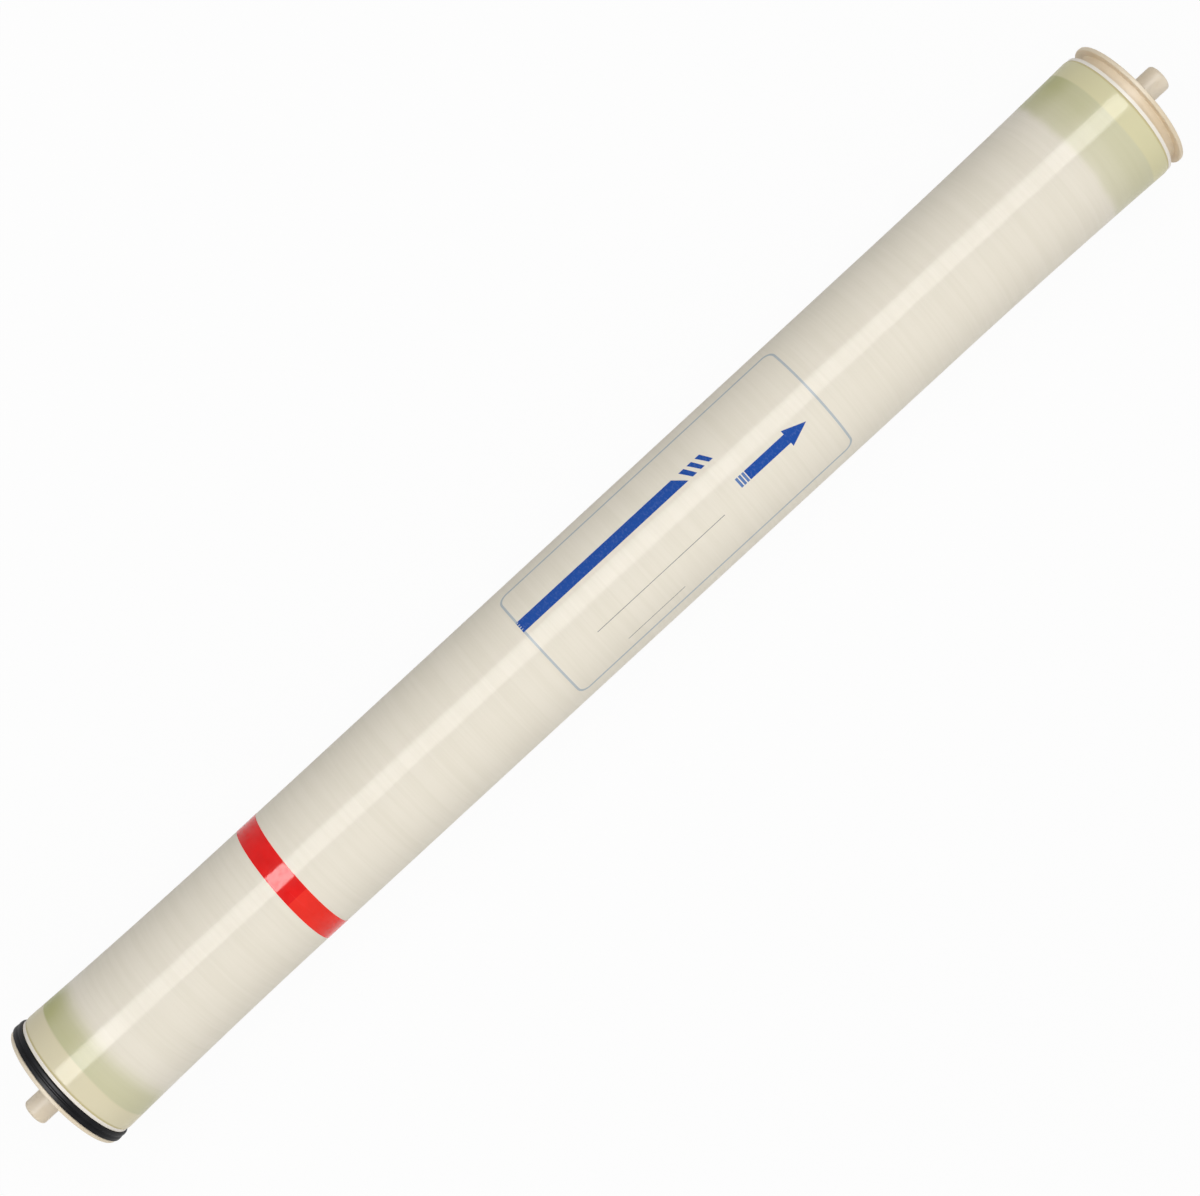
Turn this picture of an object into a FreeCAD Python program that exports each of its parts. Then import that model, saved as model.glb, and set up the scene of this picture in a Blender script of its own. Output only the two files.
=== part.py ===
import os
from math import cos, pi, sin, sqrt, tan

import FreeCAD
import Part

# A spiral-wound reverse osmosis element of the four inch by forty inch size, in millimetres.
# Its axis is X and its middle is the origin. Feed water enters at -X, where the brine seal is, and the
# concentrate leaves at +X. The label faces +Z.

# Overall
element_length = 1016.0         # tip to tip of the permeate tube
stub_length = 26.7              # how far the tube stands out of each end cap

# Permeate tube
tube_diameter = 20.0
tube_wall = 2.7
stub_step = 0.45                # turned off the radius at both ends, where the couplings go on
tip_chamfer = 0.8
perforation_diameter = 3.2
perforation_pitch = 300.0

# Membrane roll
roll_diameter = 90.6
leaf_count = 4
leaf_thickness = 3.9            # one leaf: membrane, permeate carrier, membrane and feed spacer
tape_wall = 0.3                 # closing tape round the finished roll

# Glass-fibre shell, wound over the roll and the bodies of the end caps
shell_wall = 1.0                # along the middle
shell_swell = 2.9               # what it gains in radius towards each end cap
shoulder_length = 1.6           # the taper down to the collar at the shell's edge

# End caps
cap_depth = 28.0                # from the outer face to the seat against the roll
flange_width = 3.0
flange_proud = 0.2              # how far the flange stands over the swollen shell
groove_width = 7.2
groove_step = 1.6               # groove floor below the cap's body
collar_width = 2.6              # the low flange between the groove and the shell
collar_drop = 0.5               # how far it lies below the swollen shell
rim_wall = 4.3                  # wall of the cap's body
hub_wall = 4.4
hub_recess = 1.5                # the hub lies this far inside the outer face
spoke_count = 8
spoke_width = 3.4
spoke_depth = 18.0              # from the seat towards the outer face

# Brine seal, a U-cup whose mouth faces the feed
lip_reach = 1.1                 # how far the lip stands over the flange
lip_thickness = 3.6             # at the bottom of the cup, thinning to the lip's edge
foot_thickness = 1.6
cup_depth = 4.4

# Films bonded round the shell
film_thickness = 0.15
band_width = 16.8
band_centre = -274.6
band_margin = 2.0               # straight shell past the band, before the swell begins
label_length = 244.0
label_height = 101.0            # measured round the shell
label_centre = 70.2

# Clearances
glue_gap = 0.05                 # tube in the end cap hubs and in the roll
winding_gap = 0.1               # leaf to leaf, and leaf to tape
seat_gap = 0.3                  # end cap to the roll
seal_play = 0.2                 # brine seal to each wall of its groove
film_gap = 0.05                 # resin between the shell and a film

# Places along the axis, for the +X end
tip = element_length / 2
cap_face = tip - stub_length
cap_seat = cap_face - cap_depth
roll_end = cap_seat - seat_gap
hub_face = cap_face - hub_recess
groove_outer = cap_face - flange_width
groove_inner = groove_outer - groove_width
shell_end = groove_inner - collar_width
swell_end = shell_end - shoulder_length
band_start = band_centre - band_width / 2
swell_start = band_margin - band_start

# Radii, from the tube outwards
tube_radius = tube_diameter / 2
hub_bore = tube_radius + glue_gap
hub_radius = hub_bore + hub_wall
roll_radius = roll_diameter / 2
shell_bore = roll_radius + tape_wall
rim_bore = shell_bore - rim_wall
groove_floor = shell_bore - groove_step
shell_radius = shell_bore + shell_wall
film_inside = shell_radius + film_gap
film_outside = film_inside + film_thickness
end_radius = shell_radius + shell_swell
collar_radius = end_radius - collar_drop
flange_radius = end_radius + flange_proud
lip_radius = flange_radius + lip_reach

AXIS = FreeCAD.Vector(1, 0, 0)
UP = FreeCAD.Vector(0, 0, 1)
ORIGIN = FreeCAD.Vector(0, 0, 0)


def at(x, radius):
    """A point of a turned profile: its place along the axis, and its distance from it."""
    return FreeCAD.Vector(x, 0, radius)


def polar(centre, radius, angle):
    """A point in the roll's section, at an angle from +Y round a centre."""
    return centre + FreeCAD.Vector(0, radius * cos(angle), radius * sin(angle))


def mirrored(points):
    """The same profile points at the -X end, in reverse order."""
    return [at(-p.x, p.z) for p in reversed(points)]


def lines(points):
    """Straight edges through the points, in order."""
    return [Part.makeLine(a, b) for a, b in zip(points, points[1:])]


def outline(points):
    """Straight edges through the points and back to the first."""
    return lines(points + points[:1])


def turned(edges, degrees=360):
    """The solid that a closed profile sweeps about the axis."""
    return Part.Face(Part.Wire(edges)).revolve(ORIGIN, AXIS, degrees)


def sleeve(x_low, x_high, inner, outer, degrees=360):
    """A plain sleeve, or a sector of one."""
    corners = [at(x_low, inner), at(x_high, inner), at(x_high, outer), at(x_low, outer)]
    return turned(outline(corners), degrees)


def perforations():
    """Drills through one wall of the tube, each a quarter turn on from the last."""
    count = int(2 * roll_end / perforation_pitch)
    drills = []
    for i in range(count):
        place = AXIS * (perforation_pitch * (i - (count - 1) / 2))
        drill = Part.makeCylinder(perforation_diameter / 2, tube_diameter, place, UP)
        drill.rotate(place, AXIS, 90 * i)
        drills.append(drill)
    return drills


def permeate_tube():
    """The perforated centre tube, turned down at both ends and chamfered at the tips."""
    stub = tube_radius - stub_step
    end = [
        at(hub_face, tube_radius),
        at(hub_face, stub),
        at(tip - tip_chamfer, stub),
        at(tip, stub - tip_chamfer),
        at(tip, tube_radius - tube_wall),
    ]
    return turned(outline(end + mirrored(end))).cut(perforations())


def membrane_leaf(number):
    """One leaf of the roll, wound from the tube outwards as the involute of a regular polygon.

    The polygon has one corner for each leaf, and its side is the pitch from leaf to leaf. Each arc is struck
    from the next corner, with a radius one pitch larger, so the leaves run concentric and evenly spaced.
    """
    pitch = leaf_thickness + winding_gap
    sector = 2 * pi / leaf_count
    corner = pitch / (2 * sin(sector / 2))
    flat = pitch / (2 * tan(sector / 2))
    first = sqrt(hub_bore ** 2 - flat ** 2) + pitch / 2
    last = sqrt((roll_radius - winding_gap) ** 2 - flat ** 2) - pitch / 2 - leaf_thickness
    inside, outside = [], []
    for step in range(int((last - first) / pitch) + 1):
        turn = (step + number) * sector
        centre = polar(ORIGIN, corner, turn)
        radius = first + step * pitch
        middle = turn - pi / 2
        angles = (middle - sector / 2, middle, middle + sector / 2)
        inside.append([polar(centre, radius, angle) for angle in angles])
        outside.append([polar(centre, radius + leaf_thickness, angle) for angle in angles])
    root = Part.makeLine(inside[0][0], outside[0][0])
    tail = Part.makeLine(inside[-1][-1], outside[-1][-1])
    arcs = [Part.Arc(*points).toShape() for points in inside + outside]
    section = Part.Face(Part.Wire(Part.__sortEdges__([root, tail] + arcs)))
    section.translate(AXIS * -roll_end)
    return section.extrude(AXIS * (2 * roll_end))


def end_cap():
    """The anti-telescoping cap of the +X end, one moulding: a rim grooved between flange and collar,
    the spokes and a hub.
    """
    rim = turned(outline([
        at(cap_face, rim_bore),
        at(cap_face, flange_radius),
        at(groove_outer, flange_radius),
        at(groove_outer, groove_floor),
        at(groove_inner, groove_floor),
        at(groove_inner, collar_radius),
        at(shell_end, collar_radius),
        at(shell_end, shell_bore),
        at(cap_seat, shell_bore),
        at(cap_seat, rim_bore),
    ]))
    # Each spoke runs on to the middle of the hub's wall and of the wall under the groove.
    root = (hub_bore + hub_radius) / 2
    reach = (rim_bore + groove_floor) / 2
    corner = FreeCAD.Vector(cap_seat, -spoke_width / 2, root)
    spokes = []
    for i in range(spoke_count):
        spoke = Part.makeBox(spoke_depth, spoke_width, reach - root, corner)
        spoke.rotate(ORIGIN, AXIS, 360 * (i + 0.5) / spoke_count)
        spokes.append(spoke)
    return rim.fuse([sleeve(cap_seat, hub_face, hub_bore, hub_radius)] + spokes).removeSplitter()


def end_caps():
    """The same moulding at both ends. Only the feed end's groove holds a seal."""
    brine_end = end_cap()
    feed_end = brine_end.copy()
    feed_end.rotate(ORIGIN, UP, 180)
    return Part.makeCompound([feed_end, brine_end])


def brine_seal():
    """The U-cup in the feed cap's groove: a foot on the groove's floor, and a lip that pressure spreads."""
    heel = -(groove_inner + seal_play)
    mouth = -(groove_outer - seal_play)
    return turned(outline([
        at(heel, groove_floor),
        at(heel, lip_radius),
        at(mouth, lip_radius),
        at(mouth + cup_depth, lip_radius - lip_thickness),
        at(mouth, groove_floor + foot_thickness),
        at(mouth, groove_floor),
    ]))


def fibreglass_shell():
    """The wound glass-fibre shell: straight along the middle, then swelling gently over the end caps."""
    ends = []
    for side in (1, -1):
        swell = Part.BezierCurve()
        swell.setPoles([
            at(side * swell_start, shell_radius),
            at(side * (swell_start + swell_end) / 2, shell_radius),
            at(side * swell_end, end_radius),
        ])
        ends += [swell.toShape()] + lines([
            at(side * swell_end, end_radius),
            at(side * shell_end, collar_radius),
            at(side * shell_end, shell_bore),
        ])
    outside = Part.makeLine(at(-swell_start, shell_radius), at(swell_start, shell_radius))
    inside = Part.makeLine(at(-shell_end, shell_bore), at(shell_end, shell_bore))
    return turned(Part.__sortEdges__([outside, inside] + ends))


def label_film():
    """The printed film, centred on +Z."""
    degrees = label_height / film_outside * 180 / pi
    low = label_centre - label_length / 2
    film = sleeve(low, low + label_length, film_inside, film_outside, degrees)
    film.rotate(ORIGIN, AXIS, -degrees / 2)
    return film


pieces = {
    "permeate_tube": permeate_tube(),
    "closing_tape": sleeve(-roll_end, roll_end, roll_radius, shell_bore),
    "fibreglass_shell": fibreglass_shell(),
    "end_caps": end_caps(),
    "brine_seal": brine_seal(),
    "colour_band": sleeve(band_start, band_start + band_width, film_inside, film_outside),
    "label_film": label_film(),
}
for number in range(leaf_count):
    pieces["membrane_leaf_%d" % (number + 1)] = membrane_leaf(number)

os.makedirs("parts", exist_ok=True)
for name, shape in pieces.items():
    shape.exportStep("parts/%s.step" % name)
    print("%-18s solids %d, volume %.0f" % (name, len(shape.Solids), shape.Volume))
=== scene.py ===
"""The visible pieces, finishes and studio of a spiral-wound membrane element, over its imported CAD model.

The element lies along X with its feed end at -X, and its label faces +Z. All lengths are in metres.
"""

from math import atan2, cos, pi, radians, sin, sqrt, tan

import bmesh
import bpy
from bpy.props import FloatProperty, FloatVectorProperty, IntProperty, PointerProperty
from mathutils import Matrix, Vector


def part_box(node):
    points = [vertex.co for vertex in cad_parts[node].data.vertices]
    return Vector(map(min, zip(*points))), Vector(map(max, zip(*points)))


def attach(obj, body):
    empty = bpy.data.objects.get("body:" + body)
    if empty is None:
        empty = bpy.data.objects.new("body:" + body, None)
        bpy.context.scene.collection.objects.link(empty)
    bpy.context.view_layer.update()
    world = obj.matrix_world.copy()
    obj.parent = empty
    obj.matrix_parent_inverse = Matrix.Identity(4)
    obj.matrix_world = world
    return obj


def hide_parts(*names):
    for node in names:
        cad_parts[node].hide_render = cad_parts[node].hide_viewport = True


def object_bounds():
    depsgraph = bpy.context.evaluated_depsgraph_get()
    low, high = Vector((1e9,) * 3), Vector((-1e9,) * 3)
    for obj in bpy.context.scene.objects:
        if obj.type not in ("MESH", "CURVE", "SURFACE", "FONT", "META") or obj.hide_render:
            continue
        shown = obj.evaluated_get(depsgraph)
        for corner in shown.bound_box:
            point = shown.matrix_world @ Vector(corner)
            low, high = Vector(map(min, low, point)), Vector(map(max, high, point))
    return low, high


bl_info = {
    "name": "Membrane Element",
    "version": (1, 0, 0),
    "blender": (4, 5, 0),
    "location": "View3D > Sidebar > Membrane Element",
    "description": "Builds the visible pieces, finishes and studio of a spiral-wound membrane element",
    "category": "Object",
}

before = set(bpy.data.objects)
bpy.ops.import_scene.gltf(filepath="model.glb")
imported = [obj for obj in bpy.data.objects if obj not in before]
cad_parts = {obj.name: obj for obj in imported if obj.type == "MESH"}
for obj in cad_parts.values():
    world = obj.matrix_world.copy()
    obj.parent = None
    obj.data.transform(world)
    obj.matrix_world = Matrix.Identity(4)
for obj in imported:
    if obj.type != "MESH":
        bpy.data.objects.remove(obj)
cad_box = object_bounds()

# Places and radii that the frame gives
tip, tube_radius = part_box("permeate_tube")[1].xz
cap_face, flange_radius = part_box("end_caps")[1].xz
roll_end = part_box("membrane_leaf_1")[1].x
shell_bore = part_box("closing_tape")[1].z
shell_end, end_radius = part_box("fibreglass_shell")[1].xz
seal_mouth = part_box("brine_seal")[0].x
seal_heel, lip_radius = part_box("brine_seal")[1].xz
band_low, band_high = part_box("colour_band")[0].x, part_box("colour_band")[1].x
label_low, label_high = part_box("label_film")[0].x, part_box("label_film")[1].x
film_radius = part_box("label_film")[1].z


def srgb(red, green, blue):
    """A colour as a screen shows it, from 0 to 255, made linear."""
    shown = [channel / 255 for channel in (red, green, blue)]
    return tuple(c / 12.92 if c <= 0.04045 else ((c + 0.055) / 1.055) ** 2.4 for c in shown)


def size(name, description, default, low=0):
    """A length that a user may change."""
    return FloatProperty(
        name=name, description=description, default=default, min=low, precision=5, subtype="DISTANCE"
    )


def place(name, description, default):
    """A place that a user may change, on either side of zero."""
    return size(name, description, default, low=-1)


def turn(name, description, default):
    """An angle that a user may change, given in degrees."""
    return FloatProperty(name=name, description=description, default=radians(default), subtype="ANGLE")


def level(name, description, default, unit="NONE"):
    """A strength that a user may change."""
    return FloatProperty(name=name, description=description, default=default, min=0, unit=unit)


def whole(name, description, default, low, high):
    """A whole number that a user may change."""
    return IntProperty(name=name, description=description, default=default, min=low, max=high)


def shade(name, description, *shown):
    """A colour that a user may change, given as a screen shows it."""
    return FloatVectorProperty(
        name=name, description=description, default=srgb(*shown), min=0, max=1, size=3, subtype="COLOR"
    )


class ShellSettings(bpy.types.PropertyGroup):
    wall: size("Wall", "Wall of the shell along its middle", 0.001)
    edge_drop: size("Edge drop", "How far the shell's edge lies below its swollen end", 0.0005)
    shoulder: size("Shoulder", "Length of the rounded taper down to the shell's edge", 0.0016)
    straight: size("Straight half", "Half the length that stays straight, before the swell begins", 0.285)
    cover: size("Cap cover", "Distance from the middle to the start of the winding over the caps", 0.4535)
    pool_start: size("Pool start", "Distance from the middle to the start of the resin pools", 0.4135)
    pool_deep: size("Pool deep", "Distance from the middle to where the pools are deepest", 0.448)
    trim: size("Trim", "Width of the shell's trimmed edge", 0.0009)
    glass: shade("Glass", "Wound glass and clear resin along the middle", 236, 229, 214)
    strand: shade("Strand", "The darker strands in the winding", 232, 225, 209)
    pool: shade("Resin pool", "Greenish resin that gathers beside the caps", 179, 180, 116)
    cover_glass: shade("Cover", "Winding over the body of the brine end's cap", 219, 213, 173)
    feed_glass: shade("Feed cover", "Winding over the body of the feed end's cap", 223, 214, 183)
    cut: shade("Cut edge", "The shell's trimmed edge", 206, 194, 148)


class CapSettings(bpy.types.PropertyGroup):
    depth: size("Depth", "From the outer face to the seat on the roll", 0.028)
    flange: size("Flange", "Width of the outer flange", 0.003)
    groove: size("Groove", "Width of the seal groove", 0.0072)
    groove_step: size("Groove step", "Groove floor below the cap's body", 0.0016)
    collar: size("Collar", "Width of the low flange between the groove and the shell", 0.0026)
    collar_drop: size("Collar drop", "How far the collar lies below the swollen shell", 0.0005)
    rim_wall: size("Rim wall", "Wall of the cap's body", 0.0043)
    hub_play: size("Hub play", "Glue gap between the hub and the tube", 0.00005)
    hub_wall: size("Hub wall", "Wall of the hub", 0.0044)
    hub_recess: size("Hub recess", "How far the hub lies inside the outer face", 0.0015)
    spokes: whole("Spokes", "Number of spokes", 8, 3, 16)
    spoke_width: size("Spoke width", "Width of a spoke", 0.0034)
    spoke_depth: size("Spoke depth", "Depth of a spoke from the seat", 0.018)
    spoke_recess: size("Spoke recess", "How far a spoke lies inside the seat", 0.00002)
    fillet: size("Fillet", "Rounding where a spoke meets the hub and the rim", 0.0018)
    face_round: size("Face rounding", "Rounding of the rim's bore and of the hub at the outer face", 0.0009)
    flange_round: size("Flange rounding", "Rounding of the flange's two edges", 0.0008)
    groove_round: size("Groove rounding", "Rounding of the groove floor's corners", 0.0005)
    collar_round: size("Collar rounding", "Rounding of the collar and of the hub's bore", 0.0004)
    spoke_round: size("Spoke rounding", "Rounding of a spoke's outer edges", 0.0006)
    plastic: shade("Plastic", "Moulded plastic of the caps", 231, 218, 196)


class SealSettings(bpy.types.PropertyGroup):
    floor: size("Floor", "Radius of the groove floor that the seal's foot grips", 0.044)
    foot: size("Foot", "Thickness of the foot", 0.0016)
    lip: size("Lip", "Thickness of the lip at the bottom of the cup", 0.0036)
    cup: size("Cup", "Depth of the cup", 0.0044)
    heel_drop: size("Heel drop", "How far the heel lies below the lip", 0.0003)
    rib_drop: size("Rib drop", "How far the sides of the waist lie below the lip", 0.0001)
    waist: size("Waist", "Depth of the waist between the two ribs", 0.0009)
    waist_top: size("Waist top", "Half the width of the waist at its top", 0.0011)
    waist_floor: size("Waist floor", "Half the width of the waist at its floor", 0.0003)
    heel_round: size("Heel rounding", "Rounding of the heel", 0.0009)
    rib_round: size("Rib rounding", "Rounding of the ribs and of the foot", 0.0004)
    lip_round: size("Lip rounding", "Rounding of the lip's edge", 0.0003)
    cup_round: size("Cup rounding", "Rounding of the bottom of the cup", 0.0006)
    rubber: shade("Rubber", "Black rubber", 19, 19, 22)


class TubeSettings(bpy.types.PropertyGroup):
    wall: size("Wall", "Wall of the tube", 0.0027)
    step: size("Step", "Turned off the radius at both ends", 0.00045)
    tip_round: size("Tip rounding", "Rounding of the two tips", 0.0022)
    bore_round: size("Bore rounding", "Rounding of the bore's two edges", 0.0004)
    hole: size("Hole", "Diameter of a perforation", 0.0032)
    pitch: size("Hole pitch", "Distance from one perforation to the next", 0.3)
    drill: size("Drill", "Length of a drill, whose middle lies at the tube's surface", 0.02)
    plastic: shade("Plastic", "Extruded plastic of the tube", 235, 224, 206)


class RollSettings(bpy.types.PropertyGroup):
    leaves: whole("Leaves", "Number of leaves, as many as the CAD model has", 4, 4, 4)
    leaf: size("Leaf", "Thickness of one leaf", 0.0039)
    gap: size("Gap", "Gap from leaf to leaf", 0.0001)
    tape_wall: size("Tape wall", "Wall of the closing tape", 0.0003)
    sheets: whole("Sheets", "Folded sheets that show across one leaf", 3, 1, 6)
    sheet: size("Sheet", "Thickness of one sheet", 0.00048)
    recess: size("Recess", "How far the spacer lies inside the edges of the sheets", 0.0009)
    membrane: shade("Membrane", "Edges of the membrane sheets", 232, 228, 216)
    spacer: shade("Spacer", "Net between the sheets", 178, 180, 172)
    tape: shade("Tape", "Closing tape round the roll", 226, 222, 206)


class FilmSettings(bpy.types.PropertyGroup):
    film: size("Film", "Thickness of the band and of the label", 0.00015)
    film_round: size("Film rounding", "Rounding of the band's edges", 0.00006)
    skew: size("Skew", "How far the band leans along the element on each side", 0.0016)
    lap: size("Lap", "Thickness of the band's second layer", 0.00012)
    lap_low: size("Lap low", "From the band's lower edge to that of its second layer", 0.0002)
    lap_high: size("Lap high", "From the band's higher edge to that of its second layer", 0.0001)
    lap_start: turn("Lap start", "Where the second layer begins, from the top towards +Y", -15)
    lap_end: turn("Lap end", "Where the second layer ends", 78)
    red: shade("Red", "Red film in one layer", 246, 42, 26)
    deep_red: shade("Deep red", "Red film in two layers", 236, 10, 6)


class PrintSettings(bpy.types.PropertyGroup):
    """Places along the element, and places round it from the label's middle towards +Y."""

    ink: size("Ink", "Thickness of the print", 0.00003)
    corner: size("Corner", "Corner radius of the label", 0.0084)
    margin: size("Margin", "From the label's edge to its printed outline", 0.0004)
    outline: size("Outline", "Width of the printed outline", 0.0016)
    bar_low: place("Bar low", "Lower edge of the bar and its stripes", 0.01475)
    bar_high: place("Bar high", "Higher edge of the bar and its stripes", 0.02325)
    bar_end: place("Bar end", "Point of the bar's slanting end", 0.0937)
    bar_slant: size("Bar slant", "How far the bar's end slants back", 0.0082)
    stripe_slant: size("Stripe slant", "How far the near side of a stripe slants back", 0.0055)
    stripe_flare: size("Stripe flare", "What a stripe gains in width towards its higher edge", 0.0007)
    arrow_middle: place("Arrow middle", "Place of the arrow round the element", -0.0089)
    arrow_start: place("Arrow start", "Where the arrow's shaft begins", 0.124)
    arrow_neck: place("Arrow neck", "Where the arrow's head begins", 0.159)
    arrow_tip: place("Arrow tip", "Where the arrow's head ends", 0.1755)
    shaft: size("Shaft", "Half the width of the arrow's shaft", 0.00365)
    head: size("Head", "Half the width of the arrow's head", 0.0065)
    tail_bars: whole("Tail bars", "Number of bars behind the arrow", 3, 1, 5)
    tail_start: place("Tail start", "Where the first of those bars begins", 0.116)
    tail_pitch: size("Tail pitch", "Distance from one of those bars to the next", 0.0027)
    tail_bar: size("Tail bar", "Width of one of those bars", 0.0019)
    rule: size("Rule", "Width of a writing line", 0.0004)
    blue: shade("Blue", "Blue print", 34, 80, 164)
    tint: shade("Tint", "Lighter blue of the bars behind the arrow", 96, 128, 182)
    pale_blue: shade("Pale blue", "Printed outline", 184, 191, 195)
    grey: shade("Grey", "Blank writing lines", 120, 122, 124)


class StageSettings(bpy.types.PropertyGroup):
    lens: level("Lens", "Focal length", 79.82, "CAMERA")
    distance: size("Distance", "From the camera to the element's axis", 1.766)
    elevation: turn("Elevation", "Camera above the horizon, past 90 towards +Y", 90.3)
    roll: turn("Roll", "How the element's axis climbs across the picture", 42.66)
    aim: FloatVectorProperty(
        name="Aim",
        description="Point of the element's middle plane that the camera faces",
        default=(0.0001, -0.0028, 0.0),
        size=3,
        subtype="XYZ",
        unit="LENGTH",
        precision=5,
    )
    key_side: turn("Key side", "The softbox and the strip stand this far from the camera, towards +Y", 12.2)
    light_length: size("Light length", "Length of the softbox and of the strip light", 2.6)
    key: level("Softbox", "Power of the softbox, which lights without a highlight", 23.5, "POWER")
    key_away: size("Softbox distance", "From the softbox to the middle of the element", 1.8)
    key_width: size("Softbox width", "Width of the softbox", 1.8)
    strip: level("Strip", "Power of the strip light, which shows only as a highlight", 120.0, "POWER")
    strip_away: size("Strip distance", "From the strip light to the middle of the element", 1.6)
    strip_width: size("Strip width", "Width of the strip light", 0.82)
    dim_side: level("Dim side", "Strength of the surroundings towards +Y", 0.06)
    bright_side: level("Bright side", "Strength of the surroundings towards -Y", 0.9)
    floor: size("Floor", "Half the width of the floor", 4.0)
    white: level("White", "Share of the backdrop that looks white in any light", 0.95)


class ElementSettings(bpy.types.PropertyGroup):
    shell: PointerProperty(type=ShellSettings)
    caps: PointerProperty(type=CapSettings)
    seal: PointerProperty(type=SealSettings)
    tube: PointerProperty(type=TubeSettings)
    roll: PointerProperty(type=RollSettings)
    films: PointerProperty(type=FilmSettings)
    prints: PointerProperty(type=PrintSettings)
    stage: PointerProperty(type=StageSettings)


# Materials


class Signal:
    """A material's socket that takes part in sums, adding a Math node for each."""

    def __init__(self, recipe, socket):
        self.recipe = recipe
        self.socket = socket

    def __add__(self, other):
        return self.recipe.math("ADD", self, other)

    def __sub__(self, other):
        return self.recipe.math("SUBTRACT", self, other)

    def __rsub__(self, other):
        return self.recipe.math("SUBTRACT", other, self)

    def __mul__(self, other):
        return self.recipe.math("MULTIPLY", self, other)

    __radd__ = __add__
    __rmul__ = __mul__


class Recipe:
    """A material or a world under construction.

    A material's patterns are laid out in the element's own coordinates, and a world's by direction.
    """

    def __init__(self, owner, coordinates="Object"):
        owner.use_nodes = True
        self.owner = owner
        self.tree = owner.node_tree
        self.tree.nodes.clear()
        self.place = self.node("TexCoord", output=coordinates)
        apart = self.node("SeparateXYZ", inputs={"Vector": self.place}).socket.node
        self.x, self.y = [Signal(self, apart.outputs[axis]) for axis in "XY"]

    def node(self, kind, settings=None, inputs=None, output=0):
        """Adds a node: its settings first, then the values or links of its sockets."""
        made = self.tree.nodes.new("ShaderNode" + kind)
        for name, value in (settings or {}).items():
            setattr(made, name, value)
        for key, value in (inputs or {}).items():
            if isinstance(value, Signal):
                self.tree.links.new(value.socket, made.inputs[key])
            elif made.inputs[key].type == "RGBA":
                made.inputs[key].default_value = (*value, 1)
            else:
                made.inputs[key].default_value = value
        return Signal(self, made.outputs[output])

    def math(self, operation, *values):
        return self.node("Math", {"operation": operation}, dict(enumerate(values)))

    def size(self, value):
        """The value without its sign."""
        return self.math("ABSOLUTE", value)

    def step(self, value, low, high):
        """Rises smoothly from 0 at low to 1 at high."""
        settings = {"interpolation_type": "SMOOTHSTEP"}
        return self.node("MapRange", settings, {"Value": value, "From Min": low, "From Max": high})

    def noise(self, scale, detail=2.0, roughness=0.5, shift=(0.0, 0.0, 0.0)):
        """Noise with its own number of features to the metre along each axis."""
        stretched = self.node("Mapping", inputs={"Vector": self.place, "Location": shift, "Scale": scale})
        inputs = {"Vector": stretched, "Scale": 1.0, "Detail": detail, "Roughness": roughness}
        return self.node("TexNoise", inputs=inputs)

    def mix(self, factor, first, second):
        """Two colours mixed."""
        return self.node("Mix", {"data_type": "RGBA"}, {0: factor, 6: first, 7: second}, output=2)

    def bump(self, height, distance, strength=1.0):
        return self.node("Bump", inputs={"Height": height, "Distance": distance, "Strength": strength})

    def seen(self):
        """1 for rays from the camera, off a shine or through glass, and 0 for light that spreads."""
        kinds = ("Is Camera Ray", "Is Glossy Ray", "Is Transmission Ray")
        camera, glossy, glass = [self.node("LightPath", output=kind) for kind in kinds]
        return self.math("MAXIMUM", camera, self.math("MAXIMUM", glossy, glass))

    def finish(self, **inputs):
        """Ends the recipe with the usual shader, and returns the material."""
        sockets = {name.replace("_", " "): value for name, value in inputs.items()}
        return self.end(self.node("BsdfPrincipled", inputs=sockets))

    def end(self, surface, kind="Material"):
        """Ends the recipe with a shader, and returns the material or world."""
        out = self.tree.nodes.new("ShaderNodeOutput" + kind)
        self.tree.links.new(surface.socket, out.inputs["Surface"])
        return self.owner


def material_recipe(name):
    """A new material to fill."""
    return Recipe(bpy.data.materials.new(name))


# Clear resin over a finish: the finish has no shine of its own, and the resin's is weak.
RESIN = {"Specular_IOR_Level": 0.0, "Coat_IOR": 1.33}


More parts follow.
